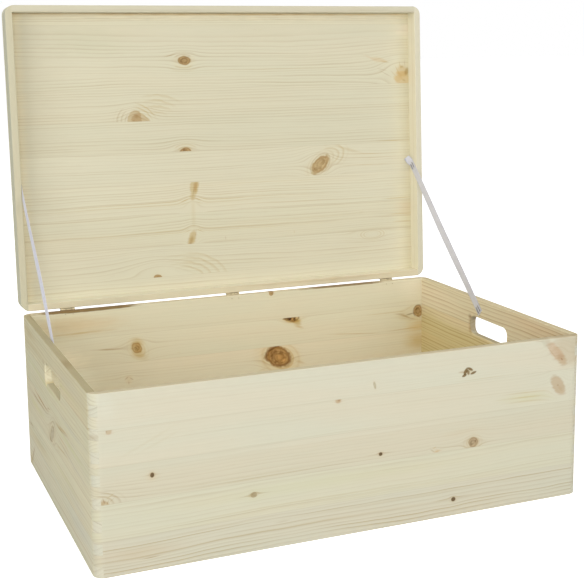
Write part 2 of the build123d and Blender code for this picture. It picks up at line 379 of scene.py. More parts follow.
def knot(u, v, half_u, half_v, turn=0.0, look="brown", reach=None):
    """A knot on a board: where, how large, how it lies in degrees, and how far it bends the grain."""
    if reach is None:
        reach = (1.8 * max(half_u, half_v * 0.8), 1.3 * max(half_v, half_u * 0.6))
    return {"centre": (u, v, 0), "size": (half_u, half_v, 1), "turn": math.radians(turn),
            "reach": (*reach, 1), "look": KNOT_LOOKS[look]}


def streak(u, v, half_u, half_v, colour, amount, turn=0.0, soft=1.0):
    """A streak or stain on a board, or a patch of painted light or shade."""
    return {"centre": (u, v, 0), "size": (half_u, half_v, 1), "turn": math.radians(turn),
            "colour": colour, "amount": amount, "soft": soft}


def curl(u, v, half_u, half_v, lines, colour, amount, turn=0.0, aim=90.0, spread=None):
    """Curled grain round a knot: its outer reach, how many lines, and which way they show: so many degrees
    each side of aim, or all round."""
    way = math.radians(aim)
    least = -1.01 - CURL_FADE if spread is None else math.cos(math.radians(spread))
    return {"centre": (u, v, 0), "size": (half_u, half_v, 1), "turn": math.radians(turn), "lines": lines,
            "aim": (math.cos(way), math.sin(way), 0), "least": least, "colour": colour, "amount": amount}


def board_axes(along, across, origin=(0, 0, 0)):
    """How a board lies: along its grain, across its face, through it, and where its places count from."""
    through = Vector(along).cross(Vector(across))
    return Matrix((along, across, through)), Vector(origin)


def lay_streaks(tree, colour, streaks, place, ragged, within=None):
    """Lay streaks, stains and patches of painted light and shade on a board's colour, everywhere or within a
    mask.
    """
    for mark in streaks:
        mask = use_group(tree, pine_patch, Place=place, Centre=mark["centre"], Size=mark["size"],
                         Turn=mark["turn"], Soft=mark["soft"], Ragged=ragged)["Mask"]
        if within is not None:
            mask = times(tree, mask, within)
        colour = mix_colour(tree, "MULTIPLY", times(tree, mask, mark["amount"]), colour, mark["colour"])
    return colour


def dress(node, material):
    """Give a solid from the frame its material."""
    slots = frame["nodes"][node].data.materials
    slots.clear()
    slots.append(material)


def pine_board(node, axes, low, high, end, pitch, heart, pine, ring=4.5, wander=2.0, contrast=0.35, seed=1.0,
               tone=(1, 1, 1), knots=(), streaks=(), figures=(), marks=(), curls=(), cloud=1.0,
               fibre=0.022, shade=0.006, edge=EDGE_STAIN, end_stain=END_STAIN,
               inner=None, inner_tone=(1, 1, 1), inner_painted_light=()):
    """Give one board its own piece of pine. Low and high are its edges and heart its pith, across and through.
    Figures are places where the grain stands out more. Streaks follow the bent grain, and marks don't. A face
    nearer the box's inside than inner can have a tone of its own, with painted light and shade in it, and
    patches of painted light and shade of its own."""
    turn, origin = axes
    material = bpy.data.materials.new("pine_" + node)
    material.use_nodes = True
    tree = material.node_tree
    shader = tree.nodes["Principled BSDF"]
    shader.inputs["Specular IOR Level"].default_value = 0.28
    coordinates = tree.nodes.new("ShaderNodeTexCoord")
    laid = tree.nodes.new("ShaderNodeMapping")
    laid.inputs["Rotation"].default_value = turn.to_euler()
    laid.inputs["Location"].default_value = turn @ origin * -MM
    laid.inputs["Scale"].default_value = (MM, MM, MM)
    wire(tree, coordinates.outputs["Object"], laid.inputs["Vector"])
    place = laid.outputs[0]

    # Knots push the grain aside before the rings are drawn.
    seen = []
    push = 0.0
    for mark in knots:
        shape = use_group(tree, pine_knot, Place=place, Centre=mark["centre"], Size=mark["size"],
                          Turn=mark["turn"], Reach=mark["reach"])
        push = calc(tree, "ADD", push, shape["Push"])
        seen.append((mark["look"], shape))
    rings = use_group(tree, pine_rings, Place=place, Push=push, Heart=(0, *heart), Ring=ring,
                      Wander=wander, Seed=seed)
    bent = place_calc(tree, "ADD", place, joined(tree, Y=rings["Lift"]))

    # Year rings, clouds, fibres and flecks.
    end_contrast, figure_soft, fleck_amount = 0.95, 0.6, 0.3
    faces = use_group(tree, board_faces, Normal=coordinates.outputs["Normal"],
                      Along=tuple(turn[0]), Across=tuple(turn[1]))
    strength = calc(tree, "MULTIPLY_ADD", faces["End"], end_contrast - contrast, contrast)
    for u, v, half_u, half_v, amount in figures:
        mask = use_group(tree, pine_patch, Place=bent, Centre=(u, v, 0), Size=(half_u, half_v, 1),
                         Soft=figure_soft)["Mask"]
        strength = calc(tree, "MULTIPLY_ADD", mask, amount, strength)
    pale = tuple(a * b for a, b in zip(pine, tone))
    deep, end_deep = [tuple(a * b for a, b in zip(pale, stain)) for stain in (LATE_STAIN, END_LATE_STAIN)]
    deep = mix_colour(tree, "MIX", faces["End"], deep, end_deep)
    line = times(tree, rings["Line"], strength)
    colour = mix_colour(tree, "MIX", line, pale, deep)
    clouds = mix_colour(tree, "MIX", fade(tree, rings["Cloud"], -0.9, 0.9), COOL_CLOUD, WARM_CLOUD)
    colour = mix_colour(tree, "MULTIPLY", cloud, colour, clouds)
    uneven = calc(tree, "MULTIPLY_ADD", rings["Cloud"], shade, 1.0)
    colour = place_calc(tree, "SCALE", colour, calc(tree, "MULTIPLY_ADD", rings["Fibre"], fibre, uneven))
    colour = mix_colour(tree, "MULTIPLY", times(tree, rings["Fleck"], fleck_amount), colour, TAN)

    # Streaks in the grain, curls round the knots, the knots, and marks over them.
    ragged_amount = 0.16
    ragged = times(tree, stretched_noise(tree, place, (0.06, 0.35, 0.1), seed, 3.0), ragged_amount)
    colour = lay_streaks(tree, colour, streaks, bent, ragged)
    for mark in curls:
        mask = use_group(tree, pine_curl, Place=place, Centre=mark["centre"], Size=mark["size"],
                         Turn=mark["turn"], Lines=mark["lines"], Aim=mark["aim"], Least=mark["least"])["Mask"]
        colour = mix_colour(tree, "MULTIPLY", times(tree, mask, mark["amount"]), colour, mark["colour"])
    for (heart_stain, ring_stain, rim_stain, about_stain), shape in seen:
        colour = mix_colour(tree, "MULTIPLY", shape["Stain"], colour, about_stain)
        stain = mix_colour(tree, "MIX", shape["Whorl"], heart_stain, ring_stain)
        colour = mix_colour(tree, "MULTIPLY", shape["Core"], colour, stain)
        colour = mix_colour(tree, "MULTIPLY", shape["Rim"], colour, rim_stain)
    colour = lay_streaks(tree, colour, marks, place, ragged)
    # The inside face's own tone and patches: painted light and shade, and on the right wall also its browner
    # wood.
    if inner is not None:
        inside = calc(tree, "LESS_THAN", calc(tree, "ABSOLUTE", split(tree, place)["Z"]), inner)
        for label in ("End", "Edge"):
            inside = times(tree, inside, calc(tree, "SUBTRACT", 1.0, faces[label]))
        colour = mix_colour(tree, "MULTIPLY", inside, colour, inner_tone)
        colour = lay_streaks(tree, colour, inner_painted_light, place, ragged, inside)

    # Glue lines, end grain and edges.
    glue_dark = 0.22
    lines = use_group(tree, glue_lines, Place=place, Low=low, High=high, End=end, Pitch=pitch)
    dark = times(tree, calc(tree, "MAXIMUM", lines["Seam"], lines["Finger"]), glue_dark)
    colour = mix_colour(tree, "MULTIPLY", dark, colour, GLUE_STAIN)
    colour = mix_colour(tree, "MULTIPLY", faces["End"], colour, end_stain)
    colour = mix_colour(tree, "MULTIPLY", faces["Edge"], colour, edge)
    wire(tree, colour, shader.inputs["Base Color"])

    # Late wood is smoother and stands a little proud of the sanded face.
    early_rough, late_smoother = 0.62, -0.18
    fibre_high, late_high = 0.3, 0.5
    wire(tree, calc(tree, "MULTIPLY_ADD", line, late_smoother, early_rough), shader.inputs["Roughness"])
    bump = tree.nodes.new("ShaderNodeBump")
    bump.inputs["Strength"].default_value = 0.25
    bump.inputs["Distance"].default_value = 0.0003
    height = calc(tree, "MULTIPLY_ADD", rings["Fibre"], fibre_high, times(tree, rings["Line"], late_high))
    wire(tree, height, bump.inputs["Height"])
    wire(tree, bump.outputs["Normal"], shader.inputs["Normal"])
    dress(node, material)


stave_high, wall_finger = 40.0, 12.5


def glue_up(wall, looks, axes, end, middle, pine, **shared):
    """Give each stave of a wall its own pine, from the lowest up. Its heart counts from the stave's middle."""
    for i, look in enumerate(looks):
        low, high = i * stave_high, (i + 1) * stave_high
        across, through = look.pop("heart")
        pine_board(f"{wall}_stave_{i + 1}", axes, low, high, end, wall_finger,
                   heart=((low + high) / 2 + across, middle + through), pine=pine, **shared, **look)


box_half_length, box_half_width = MM * cad_high.x, -MM * cad_low.y
wall_thick = box_half_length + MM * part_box("left_stave_1")[1].x
long_wall_axes = board_axes((1, 0, 0), (0, 0, 1))
long_wall_end = box_half_length - wall_thick
front_middle = box_half_width - wall_thick / 2
front_pine = (0.632, 0.603, 0.476)

# A flame of redder wood runs up into the right corner of the rim.
FLAME_BED, FLAME = (0.885, 0.83, 0.77), (0.93, 0.80, 0.73)
FLAME_FOOT, FLAME_TIP = (0.90, 0.85, 0.79), (0.90, 0.89, 0.86)
front_looks = [
    dict(heart=(-60, 24), ring=4.2, wander=4.0, contrast=1.1, seed=3.1, tone=(0.935, 0.935, 0.94),
         knots=[knot(125.5, 20, 3, 2.8, look="black")],
         streaks=[streak(-250, 24, 75, 13, RED, 0.5), streak(-240, 16, 17, 1.0, BROWN, 0.7),
                  streak(122, 20, 34, 1.0, BROWN, 0.45), streak(-90, 27, 14, 1.6, BROWN, 0.2),
                  streak(-170, 35, 130, 1.6, TAN, 0.3), streak(60, 30, 230, 1.4, TAN, 0.3),
                  streak(0, 20, 300, 1.4, TAN, 0.25)]),
    dict(heart=(-100, 24), ring=4.2, wander=4.0, contrast=0.45, seed=3.1, tone=(0.965, 0.97, 0.945),
         knots=[knot(-123, 65, 3.8, 3.2, look="grey")],
         streaks=[streak(-123, 65.3, 27, 0.9, BROWN, 0.55, turn=2), streak(-40, 67, 260, 12, GREEN, 0.35),
                  streak(0, 44, 320, 1.6, TAN, 0.3), streak(-60, 48, 260, 1.6, TAN, 0.35)],
         figures=[(0, 40, 420, 13, 0.5)]),
    dict(heart=(60, 26), ring=4.0, wander=2.6, contrast=0.4, seed=8.3, tone=(0.945, 0.935, 0.915),
         knots=[knot(-236, 105, 2.3, 2.9, look="black"), knot(-291, 80, 8, 5, look="faint", reach=(22, 11)),
                knot(30.5, 89, 2.5, 2.2, look="black"), knot(151, 86, 6.6, 5.8, look="ashen", reach=(15, 10)),
                knot(99, 83, 4, 3, look="clear")],
         streaks=[streak(0, 116, 330, 6, LIGHT, 0.9), streak(-236, 105, 15, 0.9, BROWN, 0.3),
                  streak(-236, 104, 11, 8, RED, 0.4), streak(30, 89, 26, 0.8, BROWN, 0.45),
                  streak(-130, 87, 190, 0.9, TAN, 0.4), streak(-150, 83, 150, 0.9, TAN, 0.4),
                  streak(140, 99, 42, 8, RED, 0.3), streak(150, 86, 30, 1.0, BROWN, 0.25),
                  streak(105, 82, 9, 1.2, RED, 0.9)],
         marks=[streak(-289, 82.5, 6, 4.5, PINK, 0.8, turn=25),
                streak(-288, 84.5, 1.1, 5, BROWN, 0.7, turn=20),
                streak(-284, 82.5, 1.0, 4.5, BROWN, 0.6, turn=-25),
                streak(-279, 85, 0.9, 7, BROWN, 0.35, turn=-50), streak(-281, 89, 0.9, 8, TAN, 0.6, turn=-58),
                streak(154.6, 86.5, 1.5, 4.6, BROWN, 0.5, turn=-10),
                streak(97, 83.6, 4.4, 1.3, BROWN, 0.5, turn=-35), streak(103.5, 82, 5.5, 1.5, RED, 1.0),
                streak(99.5, 86.4, 4, 1.2, RED, 1.0, turn=22)],
         curls=[curl(-296, 79, 34, 20, 5, BROWN, 0.4, aim=40, spread=50),
                curl(151, 86, 14, 10.5, 3, TAN, 0.3)],
         figures=[(-120, 85, 230, 8, 0.7), (140, 84, 60, 6, 0.5), (-270, 88, 40, 18, 0.4)]),
    dict(heart=(-55, 34), ring=3.6, wander=2.8, contrast=0.3, seed=12.9, tone=(0.975, 0.975, 0.97),
         knots=[knot(-280, 161, 4, 3.6, look="clear"), knot(-22, 161, 4, 3.4, look="clear"),
                knot(268, 141, 16, 8, turn=-55, look="clear", reach=(13, 15))],
         streaks=[streak(224, 139, 46, 1.3, TAN, 0.6), streak(222, 133, 50, 1.6, TAN, 0.6),
                  streak(226, 128, 48, 1.6, TAN, 0.5), streak(225, 133, 52, 9, GREEN, 0.6),
                  streak(-22, 158, 9, 4, RED, 0.5), streak(-280, 158, 9, 4, RED, 0.3),
                  streak(-240, 141, 46, 2.4, TAN, 0.16, turn=24),
                  streak(-228, 139, 40, 2.2, TAN, 0.14, turn=22)],
         marks=[streak(268.3, 141, 18, 9.2, PINK, 1.0, turn=-55, soft=0.35),
                streak(267.8, 141.3, 2.4, 2.0, BROWN, 0.5), streak(272, 136, 8, 3.4, RED, 0.5, turn=-55),
                streak(-280.3, 158.6, 4.4, 4.2, PINK, 0.9, soft=0.6),
                streak(-282.6, 158.6, 1.2, 2.6, BROWN, 0.4), streak(-22, 158.8, 5, 4.4, PINK, 1.0, soft=0.6),
                streak(-21, 158.8, 2.6, 1.8, BROWN, 0.7)]),
    dict(heart=(65, 30), ring=3.6, wander=2.4, contrast=0.2, seed=16.2, tone=(0.985, 0.985, 0.985),
         edge=(1.05, 0.97, 0.85),
         knots=[knot(23, 171, 1.5, 4.4, turn=12, look="grey"),
                knot(141.5, 171.8, 7, 4, look="clear", reach=(9, 5)),
                knot(268, 177, 17, 8, turn=-50, look="clear", reach=(15, 18))],
         streaks=[streak(-283, 182, 17, 26, LIGHT, 0.8, turn=18), streak(165, 164.5, 60, 0.9, TAN, 0.4)],
         marks=[streak(143, 172.4, 10, 6, TAN, 0.7),
                streak(140, 173.2, 5.4, 2.5, DARK, 1.0, turn=62, soft=0.35),
                streak(138.4, 168.6, 3.8, 1.9, DARK, 1.0, turn=18, soft=0.4),
                streak(143.4, 172, 2.3, 4.6, DARK, 0.85, turn=14, soft=0.5),
                streak(146, 175.4, 4.8, 1.9, DARK, 1.0, turn=-24, soft=0.4),
                streak(150.2, 170.4, 5.0, 1.8, DARK, 1.0, turn=16, soft=0.4),
                streak(134.5, 173, 6, 1.6, PINK, 0.8, soft=0.8),
                streak(287, 187, 36, 30, FLAME_BED, 1.0, soft=0.5),
                streak(264, 182.5, 25, 8, FLAME, 1.0, turn=-48, soft=0.5),
                streak(273, 172, 11, 7.5, FLAME_FOOT, 1.0, turn=-50, soft=0.5),
                streak(250, 196, 12, 7, FLAME_TIP, 1.0, turn=-45, soft=0.6),
                streak(272.5, 173, 3.2, 1.4, BROWN, 0.9, turn=-45),
                streak(257, 184, 15, 1.0, BROWN, 0.3, turn=-50),
                streak(240, 198.5, 9, 1.0, BROWN, 0.4, turn=-5)]),
]
glue_up("front", front_looks, long_wall_axes, long_wall_end, front_middle, front_pine)


# Back wall: the same five glued staves as the front. Its inside face is seen over the front rim, painted lighter
# and warmer than the outside as painted light where less light reaches it, with patches of painted light at its
# ends, a large knot low down and a dark streak along the top edge.

back_middle = -front_middle
# The inside face's colour: painted lighter than the outside, as painted light.
back_inside_with_painted_light = (0.794, 0.745, 0.571)


def stain_to(colour, pine, tone=(1, 1, 1)):
    """The stain that brings a board of this pine and tone to a colour."""
    return tuple(c / (p * t) for c, p, t in zip(colour, pine, tone))


# Painted light on the back wall's inside: lighter at the left end and the upper right end, and a painted warm
# bounce from the right wall at the lower right end.
PAINTED_COOL_LIGHT, PAINTED_WARM_LIGHT = (1.03, 1.08, 1.12), (1.08, 1.06, 1.04)
PAINTED_ORANGE_BOUNCE, KNOT_LIGHT = (0.95, 0.74, 0.36), (1.28, 1.22, 1.1)
WHITE_FLAKE = (2.6, 2.9, 3.6)
back_looks = [
    dict(heart=(-45, 30), ring=5.0, wander=2.4, contrast=0.34, seed=21.4, tone=(0.98, 0.97, 0.95),
         knots=[knot(-60, 22, 7, 6, look="brown")]),
    dict(heart=(50, 30), ring=4.8, wander=2.2, contrast=0.3, seed=24.8, tone=(0.98, 0.97, 0.95),
         knots=[knot(190, 61, 5, 4.4, look="umber")],
         streaks=[streak(190, 61, 26, 1.2, BROWN, 0.6)],
         inner_painted_light=[streak(-262, 76, 60, 34, PALE_STREAK_AND_PAINTED_LIGHT, 0.9)]),
    dict(heart=(-60, 30), ring=4.0, wander=2.0, contrast=0.3, seed=27.3, tone=(1.03, 1.0, 0.975),
         knots=[knot(58, 104, 21, 14.5, turn=-28, look="umber", reach=(30, 22)),
                knot(-162, 97, 7, 4, look="clear")],
         streaks=[streak(-162, 96, 8, 6, RED, 0.5), streak(92, 97, 14, 2.5, TAN, 0.6, turn=-30),
                  streak(35, 96, 14, 1.2, TAN, 0.5, turn=30)],
         inner_painted_light=[streak(286, 105, 34, 22, AMBER_STAIN_AND_PAINTED_BOUNCE, 0.85), streak(-262, 100, 70, 40, PALE_STREAK_AND_PAINTED_LIGHT, 1.0),
                      streak(-262, 104, 76, 24, PAINTED_COOL_LIGHT, 1.0)],
         curls=[curl(61, 101.5, 21, 14, 4, BROWN, 0.4, turn=-28),
                curl(62, 102, 34, 25, 3, TAN, 0.7, turn=-28)],
         marks=[streak(62, 101.5, 14, 9.5, KNOT_LIGHT, 0.9, turn=-28, soft=0.7),
                streak(48, 116, 13, 2.8, DARK, 0.75, turn=22), streak(40, 108, 3, 8, DARK, 0.55, turn=10),
                streak(-165, 98.5, 5, 1.1, BROWN, 0.6, turn=40),
                streak(-158, 97, 5, 1.1, BROWN, 0.6, turn=-35), streak(-162, 92, 1.1, 4, BROWN, 0.5)],
         figures=[(-162, 100, 40, 14, 0.3), (60, 104, 60, 20, 0.35)]),
    dict(heart=(55, 32), ring=4.0, wander=2.2, contrast=0.3, seed=30.9, tone=(0.99, 0.975, 0.945),
         knots=[knot(-149.5, 139.5, 8.6, 6.6, turn=-50, look="tan", reach=(20, 14)),
                knot(79, 161, 13, 7, turn=-10, look="flaky", reach=(24, 12)),
                knot(285, 150, 7.5, 8.5, look="brown", reach=(24, 14))],
         streaks=[streak(-185, 142, 34, 1.6, BROWN, 0.7, turn=-4),
                  streak(-144, 135, 20, 9, TAN, 0.6, turn=-50), streak(-148, 139, 14, 13, AMBER_STAIN_AND_PAINTED_BOUNCE, 0.5),
                  streak(90, 150, 13, 4, TAN, 0.9, turn=-35), streak(262, 147, 26, 1.8, BROWN, 0.7, turn=-6),
                  streak(265, 146, 26, 8, TAN, 0.5), streak(235, 151, 60, 1.1, TAN, 0.7),
                  streak(180, 126, 60, 1.3, TAN, 0.9, turn=-4), streak(265, 126, 40, 1.3, TAN, 0.9, turn=4)],
         inner_painted_light=[streak(288, 126, 34, 20, PAINTED_ORANGE_BOUNCE, 0.6), streak(-265, 128, 66, 36, PALE_STREAK_AND_PAINTED_LIGHT, 1.0),
                      streak(-262, 132, 76, 18, PAINTED_WARM_LIGHT, 1.0)],
         curls=[curl(285, 150, 10, 11, 2, DARK, 0.7, aim=150, spread=100),
                curl(-148, 138, 20, 14, 3, TAN, 0.3, turn=-50)],
         marks=[streak(80, 157, 17, 7, AMBER_STAIN_AND_PAINTED_BOUNCE, 1.0, turn=-12, soft=0.5),
                streak(86, 153, 12, 5, TAN, 1.0, turn=-30, soft=0.6),
                streak(77, 158, 12, 4.5, BROWN, 0.7, turn=-8, soft=0.7),
                streak(76, 157.8, 4, 2, DARK, 0.8, soft=0.5),
                streak(84, 156.4, 2.2, 2.6, DARK, 0.8, soft=0.5),
                streak(69, 158.8, 5, 1.2, DARK, 0.6, soft=0.6),
                streak(80.4, 157.6, 3, 1.7, WHITE_FLAKE, 1.0, soft=0.6),
                streak(-150, 139.5, 1.4, 4, DARK, 0.7, turn=40),
                streak(272, 146.5, 12, 1.6, DARK, 0.7, turn=8),
                streak(286, 141, 5, 1.4, BROWN, 0.8, turn=-30)],
         figures=[(-150, 138, 60, 18, 0.3)]),
    dict(heart=(-60, 30), ring=4.4, wander=2.0, contrast=0.24, seed=33.5, tone=(0.96, 0.945, 0.91),
         edge=(1.13, 1.06, 0.96),
         knots=[knot(49, 199, 3.5, 4, look="brown")],
         streaks=[streak(-225, 178, 90, 18, RED, 0.85), streak(-225, 168, 60, 2.4, TAN, 0.8),
                  streak(-250, 185, 60, 20, TAN, 0.25)],
         inner_painted_light=[streak(286, 180, 44, 34, PALE_STREAK_AND_PAINTED_LIGHT, 0.7)],
         marks=[streak(-215, 199.2, 86, 2.8, DARK, 1.0, soft=0.4),
                streak(160, 199.5, 80, 1.6, DARK, 0.9, soft=0.5)]),
]
glue_up("back", back_looks, long_wall_axes, long_wall_end, back_middle, front_pine,
        inner=front_middle, inner_tone=stain_to(back_inside_with_painted_light, front_pine))


# Left wall: five glued staves with a hand slot milled through the two upper ones and
# its edges eased. Its fingers fit between those of the front and back walls.

side_axes = board_axes((0, 1, 0), (0, 0, 1))
side_end = box_half_width - wall_thick
left_middle = -(box_half_length - wall_thick / 2)
left_pine = (0.660, 0.621, 0.455)
side_end_pine = (0.61, 0.59, 0.47)

# Painted light: a pale patch at the back end of the hand slot, where light falls on it.
YELLOW_LIGHT, PAINTED_SLOT_LIGHT = (1.14, 1.05, 0.86), (1.3, 1.24, 1.12)
RIM_PALE, RIM_COOL = (1.05, 1.06, 1.06), (1.04, 1.05, 1.07)
left_looks = [
    dict(heart=(-50, 30), ring=5.0, wander=4.2, contrast=0.95, seed=41.2, tone=(1.0, 1.02, 1.05),
         streaks=[streak(161, 21, 28, 2.6, BROWN, 0.85, turn=-45), streak(176, 10, 17, 14, TAN, 0.6),
                  streak(168, 30, 12, 6, LIGHT, 0.9, turn=-45), streak(-130, 30, 90, 22, GREY, 0.9),
                  streak(30, 34, 120, 3, TAN, 0.3)]),
    dict(heart=(45, 30), ring=4.6, wander=4.0, contrast=0.95, seed=44.6, tone=(1.015, 1.015, 0.99),
         streaks=[streak(164, 60, 22, 1.5, BROWN, 0.95), streak(110, 50, 110, 7, TAN, 0.45),
                  streak(60, 69, 140, 2.6, PALE_STREAK_AND_PAINTED_LIGHT, 0.6), streak(-120, 52, 90, 16, GREY, 0.9),
                  streak(-60, 60, 120, 3, GREEN, 0.7)]),
    dict(heart=(-60, 30), ring=4.2, wander=4.0, contrast=0.95, seed=47.1, tone=(1.0, 0.995, 0.965),
         knots=[knot(16, 92, 17, 6.5, turn=-38, look="dusky", reach=(22, 18))],
         streaks=[streak(80, 112, 70, 2.4, RED, 1.0, turn=4.3),
                  streak(80, 113, 66, 2.4, BROWN, 0.9, turn=4.3),
                  streak(105, 107, 90, 2.3, BROWN, 0.8, turn=1.5),
                  streak(-45, 115, 56, 2.8, TAN, 1.0, turn=-6), streak(25, 116, 26, 2.4, BROWN, 0.7, turn=-8),
                  streak(-40, 112, 60, 2.0, BROWN, 0.65, turn=-5),
                  streak(-70, 119, 36, 1.8, YELLOW_LIGHT, 1.0), streak(-90, 109, 110, 4, GREEN, 1.0),
                  streak(120, 96, 90, 6, GREEN, 0.8), streak(-110, 92, 90, 5, GREY, 0.9),
                  streak(-50, 100, 60, 2.0, RED, 1.0, turn=3), streak(-60, 94, 70, 1.8, BROWN, 0.5, turn=2),
                  streak(-45, 88, 50, 1.6, TAN, 0.8, turn=-3)],
         marks=[streak(28, 82, 9, 3, BROWN, 0.6, turn=-38), streak(20, 95, 9, 1.6, BROWN, 0.5, turn=-45)],
         curls=[curl(16, 92, 36, 18, 4, BROWN, 0.45, turn=-38)]),
    dict(heart=(60, 30), ring=4.4, wander=4.0, contrast=0.95, seed=50.8, tone=(0.995, 0.995, 0.945),
         streaks=[streak(60, 146, 180, 4, GREEN, 0.9), streak(-100, 133, 130, 5, GREY, 0.9),
                  streak(90, 130, 100, 3, TAN, 0.3)],
         marks=[streak(-196, 153, 9, 6, BROWN, 0.4), streak(42, 158, 8.5, 16, PAINTED_SLOT_LIGHT, 1.0, soft=0.3)]),
    dict(heart=(-55, 30), ring=4.2, wander=3.4, contrast=1.0, seed=53.7, tone=(0.975, 0.94, 0.845),
         edge=(0.782, 0.75, 0.697),
         streaks=[streak(150, 186, 70, 8, TAN, 0.45), streak(120, 174, 110, 4, TAN, 0.4),
                  streak(110, 163.5, 70, 2.0, PALE_STREAK_AND_PAINTED_LIGHT, 0.7), streak(-110, 184, 100, 12, GREY, 0.8),
                  streak(-60, 172, 120, 4, GREEN, 0.7)],
         marks=[streak(42, 158, 8.5, 16, PAINTED_SLOT_LIGHT, 1.0, soft=0.3), streak(56, 171, 9, 4, BROWN, 0.4),
                streak(-73, 200.5, 34, 1.4, BROWN, 0.5), streak(-160, 201, 40, 2.2, RIM_PALE, 1.0),
                streak(10, 201, 50, 2.2, RIM_COOL, 1.0)]),
]
for look in left_looks:
    look["end_stain"] = stain_to(side_end_pine, left_pine, look["tone"])
glue_up("left", left_looks, side_axes, side_end, left_middle, left_pine, shade=0.03, fibre=0.055)


# Right wall: as the left wall, with the same hand slot. Its inside face shows, warmer than the outside, with
# strong straight brown grain; each stave's colour inside is its own, partly its browner wood and partly painted
# warm bounce light and shade, with patches of painted light and shade over it.

right_middle = -left_middle
right_pine = left_pine
# Painted light and shade on the inside face: a pale band along the upper seam, lighter towards the back end, and
# darker and warmer towards the front end.
PAINTED_SEAM_LIGHT = (1.12, 1.13, 1.38)
PAINTED_FAR_LIGHT, PAINTED_NEAR_SHADE = (1.07, 1.05, 1.08), (0.98, 0.90, 0.85)
# The inside colours are partly browner wood and partly painted warm bounce light and shade.
right_looks = [
    dict(heart=(-50, 26), ring=5.0, wander=2.4, contrast=1.6, seed=61.3, tone=(1.0, 1.0, 0.99),
         inside=(0.742, 0.661, 0.413)),
    dict(heart=(45, 26), ring=5.0, wander=2.4, contrast=1.6, seed=64.9, tone=(0.985, 0.98, 0.96),
         inside=(0.742, 0.661, 0.413),
         knots=[knot(-80, 58, 7, 5, look="brown")]),
    dict(heart=(-70, 22), ring=4.8, wander=2.4, contrast=2.1, seed=67.2, tone=(1.01, 1.0, 0.985),
         inside=(0.738, 0.620, 0.334)),
    dict(heart=(70, 22), ring=4.8, wander=2.4, contrast=2.1, seed=70.6, tone=(0.99, 0.985, 0.96),
         inside=(0.738, 0.633, 0.347),
         marks=[streak(46.5, 155, 8, 13, BROWN, 0.7), streak(-49, 158, 3, 10, TAN, 0.6)],
         inner_painted_light=[streak(0, 157, 500, 18, PAINTED_SEAM_LIGHT, 1.0, soft=0.8)]),
    dict(heart=(-70, 22), ring=4.6, wander=2.2, contrast=1.75, seed=73.4, tone=(1.0, 1.0, 0.98),
         inside=(0.828, 0.740, 0.540), edge=(1.11, 1.036, 0.945),
         marks=[streak(46.5, 164, 8, 12, BROWN, 0.6), streak(47.5, 171, 8, 6, DARK, 0.6)],
         inner_painted_light=[streak(165, 178, 110, 30, PAINTED_FAR_LIGHT, 1.0), streak(-130, 190, 150, 22, PAINTED_NEAR_SHADE, 1.0)]),
]
for look in right_looks:
    look["end_stain"] = stain_to(side_end_pine, right_pine, look["tone"])
    look["inner_tone"] = stain_to(look.pop("inside"), right_pine, look["tone"])
glue_up("right", right_looks, side_axes, side_end, right_middle, right_pine,
        inner=right_middle, shade=0.015, fibre=0.035)


# Bottom: one sheet of thin birch plywood let flush into a rebate under the walls.
# Its faces have the broad, wandering figure of a peeled veneer.

bottom_low, bottom_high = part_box("bottom_panel")
bottom_axes = board_axes((1, 0, 0), (0, 1, 0))
birch = (0.72, 0.65, 0.47)
pine_board("bottom_panel", bottom_axes, MM * bottom_low.y, MM * bottom_high.y, NO_LINE, wall_finger,
           heart=(40, 60), pine=birch, ring=7.0, wander=9.0, contrast=0.28, seed=80.5)


# Brads: thin steel nails driven up through the edge of the plywood into the walls.
# Their small heads are set flush with the underside.

def bare_metal(name, nodes, colour, roughness):
    """A drawn or stamped metal: fine scratches, and a dull film here and there."""
    film_dulls, scratch_rough = 0.55, 0.06
    material = bpy.data.materials.new(name)
    material.use_nodes = True
    tree = material.node_tree
    shader = tree.nodes["Principled BSDF"]
    shader.inputs["Metallic"].default_value = 1.0
    coordinates = tree.nodes.new("ShaderNodeTexCoord")
    place = place_calc(tree, "SCALE", coordinates.outputs["Object"], MM)
    scratch = stretched_noise(tree, place, (0.4, 4.0, 4.0), 1.0, 2.0)
    film = stretched_noise(tree, place, (0.3, 0.3, 0.3), 2.0, 2.0)
    dull = tuple(film_dulls * c for c in colour)
    colour = mix_colour(tree, "MIX", fade(tree, film, -0.3, 0.9), colour, dull)
    wire(tree, colour, shader.inputs["Base Color"])
    wire(tree, calc(tree, "MULTIPLY_ADD", scratch, scratch_rough, roughness), shader.inputs["Roughness"])
    for node in nodes:
        dress(node, material)


bare_metal("brad_steel", ["bottom_brads"], (0.45, 0.45, 0.45), 0.38)


# Lid rails: four narrow pine rails with finger-jointed corners, the frame of the lid.
# They stand open with the lid, so their grain is laid out along the opened lid.

